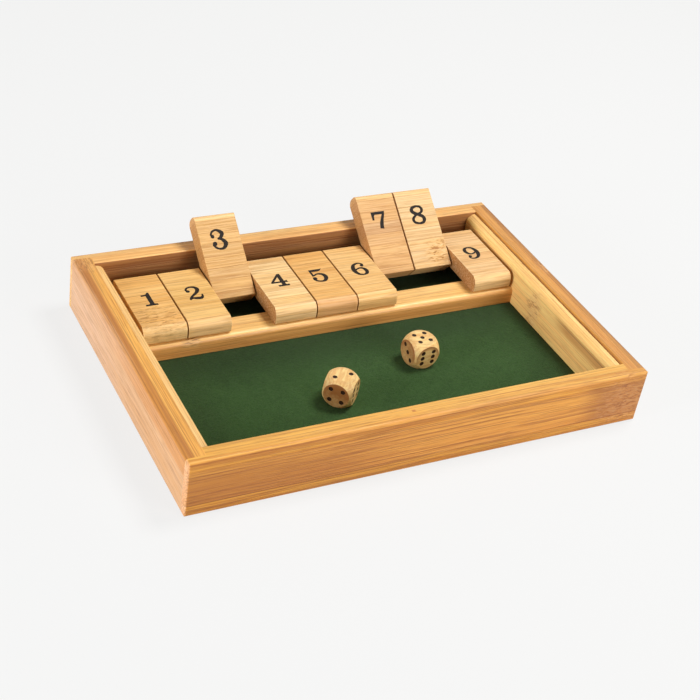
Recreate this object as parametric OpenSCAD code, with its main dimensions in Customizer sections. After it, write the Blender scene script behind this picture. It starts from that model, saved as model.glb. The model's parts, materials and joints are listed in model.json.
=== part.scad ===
// A shut the box game: a shallow bamboo tray with nine number tiles that turn on one rod,
// a felt floor to roll on, and two dice.
// The origin is the centre of the tray's underside. +X is right, +Y is back and +Z is up.
// Lengths are in millimetres and angles in degrees. Tiles are counted from the left.

/* [Tray] */
// Width of the tray, from side to side
tray_w = 262; // [230:1:340]
// Depth of the tray, from front to back
tray_d = 180; // [170:1:230]
// Height of the tray
tray_h = 33; // [30:0.5:42]
// Thickness of the front and back rails
rail_t = 10.4; // [8:0.1:13]
// Thickness of the side walls
wall_t = 10.4; // [8:0.1:13]
// Thickness of the lip that a rail leaves over the end of a side wall
lip_t = 4.2; // [3:0.1:6]
// Rounding of the tray's outer edges
outer_round = 1.6; // [0.5:0.1:2.5]
// Rounding of the rim's inner edges
inner_round = 0.8; // [0.3:0.1:1.5]

/* [Floor] */
// Thickness of the base panel
base_t = 6; // [4:0.5:8]
// How far the base panel reaches in under the rails and walls
base_seat = 5; // [3:0.5:6.5]
// Thickness of the felt
felt_t = 1.5; // [1:0.1:2.5]

/* [Cheeks] */
// Thickness of the cheek that lines each side wall and carries the rod
cheek_t = 5.6; // [5.6:0.1:8]
// How far the top of a cheek lies below the rim
cheek_drop = 1.6; // [0.5:0.1:3]
// Rounding of a cheek's upper inner edge
cheek_round = 4.9; // [2:0.1:5]
// Rounding of a cheek's upper outer edge, which leaves a groove beside the wall
cheek_groove = 0.6; // [0.2:0.1:1]

/* [Tiles] */
// Number of tiles in the row
tile_count = 9; // [9:1:9]
// Length of a tile
tile_l = 49.6; // [45:0.1:56]
// Thickness of a tile
tile_t = 10; // [8:0.1:11]
// Gap between neighbouring tiles
tile_gap = 0.8; // [0.5:0.1:1.5]
// Gap between the row and the cheek at each end
row_gap = 2.2; // [1:0.1:4]
// Gap between the tiles and the back rail
rear_gap = 9; // [7:0.1:12]
// Rounding of a tile's upper edge at its free end
tip_round = 4.8; // [2:0.1:5]
// Rounding of a tile's lower edge at its free end
tip_under_round = 2.2; // [1:0.1:2.8]
// Rounding of a tile's other edges
tile_round = 0.5; // [0.2:0.1:1]
// Tiles that stand raised and lean on the back rail
raised_tiles = [3, 7, 8]; // [1:1:9]

/* [Ledge] */
// Depth of the ledge that the tiles rest on, from front to back
ledge_d = 15.7; // [10:0.1:20]
// Height of the ledge above the felt
ledge_h = 9.3; // [8.5:0.1:12]
// How far the ledge stands out in front of the tiles
ledge_lead = 1.6; // [0:0.1:4]
// Rounding of the ledge's upper front edge
ledge_round = 2.8; // [1:0.1:4]
// Rounding of the ledge's upper back edge
ledge_back_round = 0.8; // [0.3:0.1:2]

/* [Rod] */
// Diameter of the rod that the tiles turn on
rod_d = 3; // [2:0.1:3.4]
// Distance from the rod's centre to the back end of a lying tile
rod_back = 11.2; // [8:0.1:12]
// Height of the rod's centre above the middle of a lying tile's thickness
rod_rise = 0.9; // [0:0.1:1]

/* [Dice] */
// Size of a die across its flat faces
die_s = 16; // [12:0.5:18]
// Diameter of the ball that rounds off a die's corners
die_ball_d = 21.3; // [19:0.1:24]
// Diameter of a pip
pip_d = 2.6; // [1.5:0.1:2.8]
// Depth of a pip
pip_depth = 0.4; // [0.2:0.1:0.8]
// Distance from the middle of a face to its outer pips, both ways
pip_step = 3.3; // [3:0.1:3.8]
// Distance of the left die's centre left of the tray's middle
left_die_x = 25; // [20:0.5:60]
// Distance of the left die's centre behind the front rail
left_die_y = 42.5; // [20:0.5:60]
// Turn of the left die
left_die_turn = -45; // [-180:1:180]
// Distance of the right die's centre right of the tray's middle
right_die_x = 32.3; // [20:0.5:60]
// Distance of the right die's centre behind the front rail
right_die_y = 61.5; // [20:0.5:65]
// Turn of the right die
right_die_turn = 4; // [-180:1:180]

/* [Fits] */
// Gap left all round a piece that is set into another
set_gap = 0.1; // [0.05:0.05:0.3]
// Clearance round the rod in its holes, on the radius
rod_gap = 0.08; // [0.02:0.01:0.1]
// Gap under a tile that rests on the ledge or leans on the back rail
rest_gap = 0.15; // [0.05:0.05:0.3]

/* [Hidden] */
$fn = 48;
// How far a cutting shape runs past the face that it cuts
spill = 1;

// Inner faces of the rails and of the side walls, from the middle of the tray
inner_y = tray_d / 2 - rail_t;
inner_x = tray_w / 2 - wall_t;
// Inner face of the cheeks and their top
cheek_x = inner_x - cheek_t;
cheek_top = tray_h - cheek_drop;
// Top of the felt
floor_z = base_t + felt_t;
// The lying tiles: back end, free end, underside, top and width
tile_back_y = inner_y - rear_gap;
tile_tip_y = tile_back_y - tile_l;
tile_low_z = floor_z + ledge_h + rest_gap;
tile_top_z = tile_low_z + tile_t;
tile_w = (2 * (cheek_x - row_gap) - (tile_count - 1) * tile_gap) / tile_count;
tile_pitch = tile_w + tile_gap;
// The rod's axis
rod_y = tile_back_y - rod_back;
rod_z = (tile_low_z + tile_top_z) / 2 + rod_rise;
// A raised tile's upper face touches the rounded inner edge of the back rail, so the tile
// leans at the slope of the line that lies this far from the rod and from that edge's centre
edge_y = inner_y + inner_round - rod_y;
edge_z = tray_h - inner_round - rod_z;
lean_reach = tile_top_z - rod_z + inner_round + rest_gap;
lean = atan2(edge_z, edge_y) + asin(lean_reach / norm([edge_y, edge_z]));
// How far a raised tile has turned from lying flat
raise = 180 - lean;

bamboo = "#d79a55";
bamboo_dark = "#c4854a";
bamboo_light = "#e9c285";

// What rounding takes off a square corner at the origin, with the material on its lower left
module corner_waste(r) {
    difference() {
        translate([-r, -r]) square(r + spill);
        translate([-r, -r]) circle(r);
    }
}

// A rectangle from the origin to [w, h], with a radius for its lower left, lower right,
// upper right and upper left corner
module rounded_bar(w, h, radii) {
    corners = [[0, 0], [w, 0], [w, h], [0, h]];
    difference() {
        square([w, h]);
        for (i = [0 : 3])
            if (radii[i] > 0) translate(corners[i]) rotate(180 + 90 * i) corner_waste(radii[i]);
    }
}

// A rectangle centred on the origin, with all its corners rounded
module round_rect(w, h, r) {
    translate([-w / 2, -h / 2]) rounded_bar(w, h, [r, r, r, r]);
}

// A profile drawn in Y and Z, run along X from -length / 2 to length / 2
module along_x(length) {
    rotate([90, 0, 90]) translate([0, 0, -length / 2]) linear_extrude(length) children();
}

// A profile drawn in X and Z, run along Y from -length / 2 to length / 2
module along_y(length) {
    rotate([90, 0, 0]) translate([0, 0, -length / 2]) linear_extrude(length) children();
}

// The whole tray as one block, rounded on its outer edges
module tray_block() {
    intersection() {
        linear_extrude(tray_h) round_rect(tray_w, tray_d, outer_round);
        translate([0, 0, tray_h / 2]) along_x(tray_w) round_rect(tray_d, tray_h, outer_round);
        translate([0, 0, tray_h / 2]) along_y(tray_d) round_rect(tray_w, tray_h, outer_round);
    }
}

// A flat slab centred on the origin, with its underside at z
module slab(w, d, h, z = 0) {
    translate([-w / 2, -d / 2, z]) cube([w, d, h]);
}

// The rounding of the rim's four inner edges
module rim_waste() {
    for (side = [0, 1]) {
        mirror([0, side, 0]) translate([0, inner_y, tray_h]) along_x(2 * inner_x)
            rotate(90) corner_waste(inner_round);
        mirror([side, 0, 0]) translate([inner_x, 0, tray_h]) along_y(2 * inner_y)
            rotate(90) corner_waste(inner_round);
    }
}

// What the base panel and the rim's rounding take out of the rails and walls
module tray_waste() {
    slab(2 * (inner_x + base_seat), 2 * (inner_y + base_seat), base_t + spill, -spill);
    rim_waste();
}

// The back rail, with a step at each end that takes the end of a side wall
module rail() {
    color(bamboo_dark) difference() {
        intersection() {
            tray_block();
            translate([-tray_w / 2, inner_y, 0]) cube([tray_w, rail_t, tray_h]);
        }
        for (side = [0, 1]) mirror([side, 0, 0]) translate([inner_x, inner_y - spill, -spill])
            cube([wall_t + spill, rail_t - lip_t + spill, tray_h + 2 * spill]);
        tray_waste();
    }
}

module back_rail() {
    rail();
}

module front_rail() {
    mirror([0, 1, 0]) rail();
}

// The right side wall, whose ends lie behind the rails' lips
module side_wall() {
    wall_l = tray_d - 2 * lip_t;
    color(bamboo) difference() {
        intersection() {
            tray_block();
            translate([inner_x, -wall_l / 2, 0]) cube([wall_t, wall_l, tray_h]);
        }
        tray_waste();
    }
}

module right_wall() {
    side_wall();
}

module left_wall() {
    mirror([1, 0, 0]) side_wall();
}

module base_panel() {
    panel_w = 2 * (inner_x + base_seat - set_gap);
    panel_d = 2 * (inner_y + base_seat - set_gap);
    color(bamboo) slab(panel_w, panel_d, base_t);
}

module felt_lining() {
    color("#2f5136") slab(2 * (cheek_x - set_gap), 2 * (inner_y - set_gap), felt_t, base_t);
}

// The right cheek, a board with a rounded upper inner edge and the rod's hole
module cheek() {
    color(bamboo_light) difference() {
        translate([cheek_x, 0, base_t]) along_y(2 * (inner_y - set_gap))
            rounded_bar(cheek_t, cheek_top - base_t, [0, 0, cheek_groove, cheek_round]);
        translate([cheek_x - spill, rod_y, rod_z]) rotate([0, 90, 0])
            cylinder(h = cheek_t + 2 * spill, d = rod_d + 2 * rod_gap);
    }
}

module right_cheek() {
    cheek();
}

module left_cheek() {
    mirror([1, 0, 0]) cheek();
}

module tile_ledge() {
    color(bamboo_light) translate([0, tile_tip_y - ledge_lead, floor_z])
        along_x(2 * (cheek_x - set_gap))
            rounded_bar(ledge_d, ledge_h, [0, 0, ledge_back_round, ledge_round]);
}

// The rod, which runs through both cheeks and ends at the side walls
module hinge_rod() {
    rod_l = 2 * (inner_x - set_gap);
    color("#b9bcc0") translate([-rod_l / 2, rod_y, rod_z]) rotate([0, 90, 0])
        cylinder(h = rod_l, d = rod_d);
}

// A lying tile with the rod's axis at the origin
module lying_tile() {
    low = tile_low_z - rod_z;
    difference() {
        intersection() {
            translate([0, rod_back - tile_l, low]) along_x(tile_w)
                rounded_bar(tile_l, tile_t, [tip_under_round, tile_round, tile_round, tip_round]);
            translate([0, rod_back - tile_l / 2, low + tile_t / 2]) along_y(tile_l)
                round_rect(tile_w, tile_t, tile_round);
        }
        rotate([0, 90, 0]) cylinder(h = tile_w + spill, d = rod_d + 2 * rod_gap, center = true);
    }
}

// Tile n of the row, raised if it is listed so
module tile(n) {
    turn = len(search(n, raised_tiles)) > 0 ? -raise : 0;
    color(bamboo_light) translate([(n - (tile_count + 1) / 2) * tile_pitch, rod_y, rod_z])
        rotate([turn, 0, 0]) lying_tile();
}

// Centres of the n pips of a face, in steps from its middle. The first pair lies on the
// rising diagonal, or on the falling one where slant is -1
function pips(n, slant) = [
    if (n % 2 == 1) [0, 0],
    for (s = [-1, 1]) if (n > 1) [s, s * slant],
    for (s = [-1, 1]) if (n > 3) [s, -s * slant],
    for (s = [-1, 1]) if (n == 6) [s, 0]
];

// The hollows of a face with n pips, on a die's top
module pip_waste(n, slant) {
    for (p = pips(n, slant)) translate([p.x * pip_step, p.y * pip_step, die_s / 2 - pip_depth])
        cylinder(h = pip_depth + spill, d = pip_d, $fn = 32);
}

// A die centred on the origin, given by the numbers on its top, front and right face.
// Numbers on opposite faces add up to seven
module die(top, front, right, slant) {
    difference() {
        intersection() {
            cube(die_s, center = true);
            sphere(d = die_ball_d, $fn = 96);
        }
        pip_waste(top, slant);
        rotate([180, 0, 0]) pip_waste(7 - top, slant);
        rotate([90, 0, 0]) pip_waste(front, slant);
        rotate([90, 0, 90]) pip_waste(right, slant);
        rotate([90, 0, 180]) pip_waste(7 - front, slant);
        rotate([90, 0, 270]) pip_waste(7 - right, slant);
    }
}

module left_die() {
    color(bamboo_light) translate([-left_die_x, left_die_y - inner_y, floor_z + die_s / 2])
        rotate(left_die_turn) die(2, 4, 6, 1);
}

module right_die() {
    color(bamboo_light) translate([right_die_x, right_die_y - inner_y, floor_z + die_s / 2])
        rotate(right_die_turn) die(5, 6, 4, -1);
}

front_rail();
back_rail();
left_wall();
right_wall();
base_panel();
felt_lining();
left_cheek();
right_cheek();
tile_ledge();
hinge_rod();
tile(1);  // tile_1
tile(2);  // tile_2
tile(3);  // tile_3
tile(4);  // tile_4
tile(5);  // tile_5
tile(6);  // tile_6
tile(7);  // tile_7
tile(8);  // tile_8
tile(9);  // tile_9
left_die();
right_die();
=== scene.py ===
# The looks of a shut the box game: laminated bamboo, green felt, printed numerals and
# wooden dice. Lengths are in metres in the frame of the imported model: +X is right, +Y is
# back and +Z is up.
import json
import math

import bmesh
import bpy
from mathutils import Euler, Matrix, Vector, geometry, noise


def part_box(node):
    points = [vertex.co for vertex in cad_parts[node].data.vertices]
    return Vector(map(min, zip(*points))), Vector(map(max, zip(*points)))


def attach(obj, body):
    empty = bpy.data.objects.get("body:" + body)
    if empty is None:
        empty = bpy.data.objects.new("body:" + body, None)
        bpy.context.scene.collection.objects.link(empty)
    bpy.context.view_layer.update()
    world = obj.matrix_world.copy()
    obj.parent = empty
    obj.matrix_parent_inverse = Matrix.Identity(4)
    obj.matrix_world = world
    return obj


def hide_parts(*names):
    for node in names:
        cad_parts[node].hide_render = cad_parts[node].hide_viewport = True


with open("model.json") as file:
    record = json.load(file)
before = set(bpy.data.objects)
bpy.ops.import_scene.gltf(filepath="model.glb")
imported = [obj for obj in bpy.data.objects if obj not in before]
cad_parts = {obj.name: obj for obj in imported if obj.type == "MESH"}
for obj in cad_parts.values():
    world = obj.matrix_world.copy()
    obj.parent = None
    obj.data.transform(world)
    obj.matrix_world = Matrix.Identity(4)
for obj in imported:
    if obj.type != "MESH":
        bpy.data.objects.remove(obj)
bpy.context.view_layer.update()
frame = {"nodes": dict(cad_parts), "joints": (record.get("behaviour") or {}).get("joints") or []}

MM = 0.001
TILES = range(1, 10)
HINGES = {joint["child"]: joint for joint in frame["joints"] if joint["type"] == "hinge"}


# Node trees


class Tree:
    """A node tree being built. Each method adds one node and gives back its output."""

    def __init__(self, tree):
        self.tree = tree

    def add(self, kind, values=None, **settings):
        made = self.tree.nodes.new(kind)
        for name, value in settings.items():
            setattr(made, name, value)
        for name, value in (values or {}).items():
            self.put(made.inputs[name], value)
        return made

    def put(self, socket, value):
        if isinstance(value, bpy.types.NodeSocket):
            self.tree.links.new(value, socket)
        else:
            socket.default_value = value

    def math(self, operation, *values):
        return self.add("ShaderNodeMath", dict(enumerate(values)), operation=operation).outputs[0]

    def vector(self, operation, *values):
        made = self.add("ShaderNodeVectorMath", dict(enumerate(values)), operation=operation)
        return made.outputs["Value" if operation == "LENGTH" else "Vector"]

    def noise(self, vector, scale, detail=2.0, roughness=0.5, distortion=0.0):
        values = {"Vector": vector, "Scale": scale, "Detail": detail}
        values.update({"Roughness": roughness, "Distortion": distortion})
        return self.add("ShaderNodeTexNoise", values).outputs[0]

    def ramp(self, value, low, high, out_low=0.0, out_high=1.0):
        values = {"Value": value, "From Min": low, "From Max": high}
        values.update({"To Min": out_low, "To Max": out_high})
        return self.add("ShaderNodeMapRange", values, interpolation_type="SMOOTHSTEP").outputs[0]

    def mix(self, amount, first, second):
        values = {0: amount, 6: first, 7: second}
        return self.add("ShaderNodeMix", values, data_type="RGBA").outputs[2]

    def join(self, x, y, z):
        return self.add("ShaderNodeCombineXYZ", {0: x, 1: y, 2: z}).outputs[0]

    def split(self, vector):
        return self.add("ShaderNodeSeparateXYZ", {0: vector}).outputs[:]

    def stretch(self, vector, along, across):
        """The vector with its length along the grain and its lengths across it scaled."""
        return self.vector("MULTIPLY", vector, (along, across, across))

    def place(self, name, values):
        """A shader group of that name, with its inputs set or linked."""
        made = self.add("ShaderNodeGroup", node_tree=bpy.data.node_groups[name])
        for key, value in values.items():
            self.put(made.inputs[key], value)
        return {output.name: output for output in made.outputs}


SOCKET_KINDS = {"value": "NodeSocketFloat", "vector": "NodeSocketVector", "colour": "NodeSocketColor"}


def effect(name, inputs, outputs):
    """A new shader group: its tree, its inputs and its outputs."""
    tree = bpy.data.node_groups.new(name, "ShaderNodeTree")
    for key, kind in inputs.items():
        tree.interface.new_socket(key, in_out="INPUT", socket_type=SOCKET_KINDS[kind])
    for key, kind in outputs.items():
        tree.interface.new_socket(key, in_out="OUTPUT", socket_type=SOCKET_KINDS[kind])
    build = Tree(tree)
    return build, build.add("NodeGroupInput").outputs, build.add("NodeGroupOutput").inputs


def paint(hex_colour):
    """A colour written as on a screen, as the shader's linear red, green, blue and alpha."""
    parts = [int(hex_colour[i : i + 2], 16) / 255 for i in (1, 3, 5)]
    return tuple(c / 12.92 if c <= 0.04045 else ((c + 0.055) / 1.055) ** 2.4 for c in parts) + (1.0,)


# Shared effects


# How many waves of each pattern lie in a metre, along the grain and across it
SWAY_WAVES = (9, 25)
BROAD_WAVES = (3.5, 120)
BAND_WAVES = (10, 680)
FINE_WAVES = (13, 1500)
FIBRE_WAVES = (80, 1900)
DASH_WAVES = (210, 900)
RAGGED_WAVES = (140, 380)
WANDER_WAVES = (30, 260)
# The thin lines, across the grain. Along it each board has its own number.
LINE_WAVES_ACROSS = 1150.0
# How far the grain sways to each side, in metres
SWAY = 0.0015
# The half width of the glue seam between two strips, where it is full and where it ends
SEAM_FULL = 0.05 * MM
SEAM_END = 0.3 * MM


def board_frame_effect():
    """A point's place in its own board: from the board's centre, with X along the grain.
    A raised tile is first turned back about its rod, as if it lay flat."""
    inputs = {"Position": "vector", "Pivot": "vector", "Turn": "value", "Centre": "vector"}
    inputs["Grain On Y"] = "value"
    t, i, o = effect("board frame", inputs, {"Place": "vector"})
    turn = {"Vector": i["Position"], "Center": i["Pivot"], "Angle": i["Turn"]}
    turned = t.add("ShaderNodeVectorRotate", turn, rotation_type="X_AXIS").outputs[0]
    x, y, z = t.split(t.vector("SUBTRACT", turned, i["Centre"]))
    swap = t.math("MULTIPLY", t.math("SUBTRACT", y, x), i["Grain On Y"])
    t.put(o["Place"], t.join(t.math("ADD", x, swap), t.math("SUBTRACT", y, swap), z))


def bamboo_grain_effect():
    """Strips glued side by side, each with its own tone, with bands, thin lines and fibres."""
    inputs = {"Place": "vector", "Seed": "value", "Strip": "vector", "Seam Place": "vector"}
    inputs["Line Waves"] = "value"
    outputs = {"Tone": "value", "Streak": "value", "Line": "value", "Fibre": "value", "Seam": "value"}
    t, i, o = effect("bamboo grain", inputs, outputs)
    across = t.vector("DIVIDE", t.vector("SUBTRACT", i["Place"], i["Seam Place"]), i["Strip"])
    rows, layers = t.split(across)[1:]
    strip = t.join(t.math("FLOOR", rows), t.math("FLOOR", layers), i["Seed"])
    tone = t.add("ShaderNodeTexWhiteNoise", {"Vector": strip}).outputs["Value"]
    t.put(o["Tone"], tone)
    width, depth = t.split(i["Strip"])[1:]
    to_row_edge = t.math("MULTIPLY", t.math("PINGPONG", rows, 0.5), width)
    to_layer_edge = t.math("MULTIPLY", t.math("PINGPONG", layers, 0.5), depth)
    to_edge = t.math("MINIMUM", to_row_edge, to_layer_edge)
    t.put(o["Seam"], t.ramp(to_edge, SEAM_FULL, SEAM_END, 1.0, 0.0))
    shift = t.math("MULTIPLY_ADD", tone, 3.1, i["Seed"])
    moved = t.vector("ADD", i["Place"], t.join(shift, t.math("MULTIPLY", shift, 0.37), shift))
    sway = t.noise(t.stretch(moved, *SWAY_WAVES), 1.0, 1.0)
    sway = t.math("MULTIPLY_ADD", sway, 2 * SWAY, -SWAY)
    bent = t.vector("ADD", moved, t.join(0.0, sway, sway))
    broad = t.noise(t.stretch(bent, *BROAD_WAVES), 1.0, 2.0)
    band = t.noise(t.stretch(bent, *BAND_WAVES), 1.0, 3.0, 0.6)
    fine = t.noise(t.stretch(bent, *FINE_WAVES), 1.0, 2.0, 0.6)
    mixed = t.math("MULTIPLY_ADD", broad, 0.7, t.math("MULTIPLY_ADD", band, 0.8, fine))
    t.put(o["Streak"], t.ramp(mixed, 1.03, 1.47))
    waves = t.join(i["Line Waves"], LINE_WAVES_ACROSS, LINE_WAVES_ACROSS)
    lines = t.noise(t.vector("MULTIPLY", bent, waves), 1.0, 2.0)
    t.put(o["Line"], t.ramp(lines, 0.46, 0.66))
    fibres = t.noise(t.stretch(bent, *FIBRE_WAVES), 1.0, 2.0)
    t.put(o["Fibre"], t.ramp(fibres, 0.5, 0.68))


def knuckle_effect():
    """The band where a bamboo stem had a joint: browner, with short dark and pale dashes."""
    inputs = {"Place": "vector", "Centre": "vector", "Size": "vector", "Seed": "value"}
    t, i, o = effect("knuckle", inputs, {"Patch": "value", "Dash": "value", "Glint": "value"})
    seeded = t.vector("ADD", i["Place"], t.join(i["Seed"], i["Seed"], i["Seed"]))
    away = t.vector("DIVIDE", t.vector("SUBTRACT", i["Place"], i["Centre"]), i["Size"])
    ragged = t.noise(t.stretch(seeded, *RAGGED_WAVES), 1.0, 3.0)
    ragged = t.math("MULTIPLY_ADD", ragged, 1.2, -0.6)
    patch = t.ramp(t.math("ADD", t.vector("LENGTH", away), ragged), 0.4, 1.15, 1.0, 0.0)
    t.put(o["Patch"], patch)
    waves = t.noise(t.stretch(seeded, *DASH_WAVES), 1.0, 2.0, 0.5, 0.9)
    t.put(o["Dash"], t.math("MULTIPLY", t.ramp(waves, 0.53, 0.6), patch))
    t.put(o["Glint"], t.math("MULTIPLY", t.ramp(waves, 0.38, 0.45, 1.0, 0.0), patch))


def zone_effect():
    """A part of a board in another tone, told from its middle and half size. Its edge wanders."""
    inputs = {"Place": "vector", "Centre": "vector", "Half": "vector", "Soft": "value"}
    t, i, o = effect("zone", inputs, {"Mask": "value"})
    away = t.vector("ABSOLUTE", t.vector("SUBTRACT", i["Place"], i["Centre"]))
    a, b, c = t.split(t.vector("DIVIDE", away, i["Half"]))
    wander = t.noise(t.stretch(i["Place"], *WANDER_WAVES), 1.0, 3.0)
    wander = t.math("SUBTRACT", wander, 0.5)
    far = t.math("MULTIPLY_ADD", wander, i["Soft"], t.math("MAXIMUM", a, t.math("MAXIMUM", b, c)))
    begin = t.math("SUBTRACT", 1.0, i["Soft"])
    t.put(o["Mask"], t.ramp(far, begin, t.math("ADD", 1.0, i["Soft"]), 1.0, 0.0))


def worn_and_highlit_arris_effect():
    """The edges of a board, told from its half size: strong where two faces meet. They are paler,
    partly as wear and partly as a painted highlight.
    """
    inputs = {"Place": "vector", "Half Size": "vector", "Reach": "value"}
    t, i, o = effect("arris", inputs, {"Edge": "value"})
    depth = t.vector("SUBTRACT", i["Half Size"], t.vector("ABSOLUTE", i["Place"]))
    a, b, c = t.split(depth)
    second = t.math("MAXIMUM", t.math("MINIMUM", a, b), t.math("MINIMUM", t.math("MAXIMUM", a, b), c))
    worn = t.math("MULTIPLY", i["Reach"], t.ramp(t.noise(i["Place"], 260, 3.0), 0.3, 0.7, 0.5, 1.5))
    t.put(o["Edge"], t.ramp(t.math("DIVIDE", second, worn), 0.2, 1.0, 1.0, 0.0))


# What is laid over the bare grain: a mask, how strongly it shows and the colour it brings
FINISH_STEPS = [
    ("Tone", 0.45, "Strip Tint"),
    ("Line", 0.28, "Deep"),
    ("Fibre", 0.27, "Deep"),
    ("Patch", 0.45, "Strip Tint"),
    ("Patch", 0.16, "Deep"),
    ("Dash", 0.65, "Deep"),
    ("Glint", 0.35, "Light"),
    # Edge: paler edges, partly wear and partly a painted highlight
    ("Edge", 0.4, "Light"),
    ("Seam", 0.45, "Deep"),
    ("End", 0.5, "Deep"),
]
GLINT_COLOUR = "#f7dcae"
GLINT_SHARE = 0.12


def bamboo_finish_effect():
    """Colour, roughness and relief of lacquered bamboo from the masks of the other effects."""
    masks = ["Tone", "Streak", "Line", "Fibre", "Seam", "Patch", "Dash", "Glint", "Edge", "End"]
    colours = ["Light", "Dark", "Strip Tint", "Deep"]
    inputs = {**{name: "value" for name in masks}, **{name: "colour" for name in colours}}
    outputs = {"Colour": "colour", "Roughness": "value", "Height": "value"}
    t, i, o = effect("bamboo finish", inputs, outputs)
    colour = t.mix(i["Streak"], i["Light"], i["Dark"])
    for mask, amount, paint_name in FINISH_STEPS:
        colour = t.mix(t.math("MULTIPLY", i[mask], amount), colour, i[paint_name])
    glint = t.math("MULTIPLY", i["Glint"], GLINT_SHARE)
    t.put(o["Colour"], t.mix(glint, colour, paint(GLINT_COLOUR)))
    dull = t.math("MULTIPLY_ADD", i["Streak"], 0.08, t.math("MULTIPLY", i["Fibre"], 0.12))
    dull = t.math("MULTIPLY_ADD", i["End"], 0.2, dull)
    t.put(o["Roughness"], t.math("ADD", dull, 0.42))
    relief = t.math("MULTIPLY_ADD", i["Streak"], 0.2, t.math("MULTIPLY", i["Fibre"], -0.4))
    relief = t.math("MULTIPLY_ADD", i["Line"], -0.3, relief)
    relief = t.math("MULTIPLY_ADD", i["Dash"], -0.5, t.math("MULTIPLY_ADD", i["Seam"], -0.5, relief))
    t.put(o["Height"], relief)


def build_effects():
    board_frame_effect()
    bamboo_grain_effect()
    knuckle_effect()
    zone_effect()
    worn_and_highlit_arris_effect()
    bamboo_finish_effect()


# Materials


def new_material(name):
    material = bpy.data.materials.new(name)
    material.use_nodes = True
    material.node_tree.nodes.clear()
    return material, Tree(material.node_tree)


def surface(t, values):
    """Ends a material in one Principled shader."""
    shader = t.add("ShaderNodeBsdfPrincipled", values)
    t.add("ShaderNodeOutputMaterial", {"Surface": shader.outputs[0]})


def relief(t, height, distance):
    """The normal of a surface with that relief, whose full height is distance."""
    values = {"Height": height, "Distance": distance, "Strength": 1.0}
    return t.add("ShaderNodeBump", values).outputs[0]


def in_metres(lengths):
    return [length * MM for length in lengths]


# A face counts as a side from the first of these shares of its normal, fully from the second
SIDE_FROM = 0.6
SIDE_FULL = 0.85
# The same for a face of end grain
END_FROM = 0.6
END_FULL = 0.9
# The full height of each material's relief
BAMBOO_RELIEF = 0.12 * MM
FELT_RELIEF = 0.2 * MM
INK_RELIEF = 0.04 * MM
STEEL_RELIEF = 0.02 * MM
DIE_RELIEF = 0.1 * MM


def bamboo(name, centre, half, look, turn=0.0, pivot=(0, 0, 0), grain_on_y=False):
    """Lacquered bamboo for one board. look holds its colours and marks, placed in millimetres
    from the board's centre, first along the grain."""
    material, t = new_material(name)
    texture = t.add("ShaderNodeTexCoord")
    values = {"Position": texture.outputs["Object"], "Pivot": pivot, "Turn": turn, "Centre": centre}
    values["Grain On Y"] = float(grain_on_y)
    place = t.place("board frame", values)["Place"]
    facing = t.split(t.vector("ABSOLUTE", texture.outputs["Normal"]))
    if grain_on_y:
        half = (half[1], half[0], half[2])
        facing = [facing[1], facing[0], facing[2]]
    strips = {"Strip": in_metres(look["strip"]), "Seam Place": in_metres(look["seam_place"])}
    strips["Line Waves"] = look["line_waves"]
    masks = dict(t.place("bamboo grain", {"Place": place, "Seed": look["seed"], **strips}))
    spot = {"Centre": in_metres(look["knuckle"]), "Size": in_metres(look["knuckle_size"])}
    masks.update(t.place("knuckle", {"Place": place, "Seed": look["seed"], **spot}))
    worn_highlit_edge = {"Place": place, "Half Size": half, "Reach": look["worn_highlit_edge"] * MM}
    masks.update(t.place("arris", worn_highlit_edge))
    pores = t.ramp(t.noise(place, 1500, 2.0), 0.4, 0.6, 0.6, 1.0)
    end_grain = t.ramp(facing[0], END_FROM, END_FULL, 0.0, look["end"])
    masks["End"] = t.math("MULTIPLY", pores, end_grain)
    line_share = t.ramp(facing[1], SIDE_FROM, SIDE_FULL, *look["lines"])
    masks["Line"] = t.math("MULTIPLY", masks["Line"], line_share)
    for mask in ("Patch", "Dash", "Glint"):
        masks[mask] = t.math("MULTIPLY", masks[mask], look["knuckle_depth"])
    light, dark = paint(look["light"]), paint(look["dark"])
    if "side" in look:
        on_side = t.ramp(facing[1], SIDE_FROM, SIDE_FULL)
        light = t.mix(on_side, light, paint(look["side"][0]))
        dark = t.mix(on_side, dark, paint(look["side"][1]))
    for middle, reach, soft, zone_light, zone_dark in look["zones"]:
        values = {"Centre": in_metres(middle), "Half": in_metres(reach), "Soft": soft}
        mask = t.place("zone", {"Place": place, **values})["Mask"]
        light = t.mix(mask, light, paint(zone_light))
        dark = t.mix(mask, dark, paint(zone_dark))
    colours = {"Light": light, "Dark": dark}
    colours.update({"Strip Tint": paint(look["strip_tint"]), "Deep": paint(look["deep"])})
    finish = t.place("bamboo finish", {**masks, **colours})
    values = {"Base Color": finish["Colour"], "Roughness": finish["Roughness"]}
    values.update({"Coat Weight": look["coat"], "Coat Roughness": 0.2})
    values["Specular IOR Level"] = look["gloss"]
    values["Normal"] = relief(t, finish["Height"], BAMBOO_RELIEF)
    surface(t, values)
    return material


# The middle of the felt's open part, how far it is clear to each side, in X and in Y, and
# how softly painted shade darkens it from there to the walls, where their shadow falls
FELT_MIDDLE_Y = -0.03
FELT_CLEAR = (0.089, 0.04)
FELT_SHADE_FADE = 0.013
# Where painted shade darkens the felt towards the bar, and painted shadow under the tiles, in Y
FELT_SHADE_BY_LEDGE = (-0.024, 0.014)
FELT_SHADE_UNDER_TILES = (0.026, 0.036)
# How many waves of each of its patterns lie in a metre
FELT_CLOUD_WAVES = 38
FELT_BLOTCH_WAVES = 160
FELT_TUFT_WAVES = 560
FELT_STRAND_WAVES = (1300, 3400, 1300)


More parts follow.
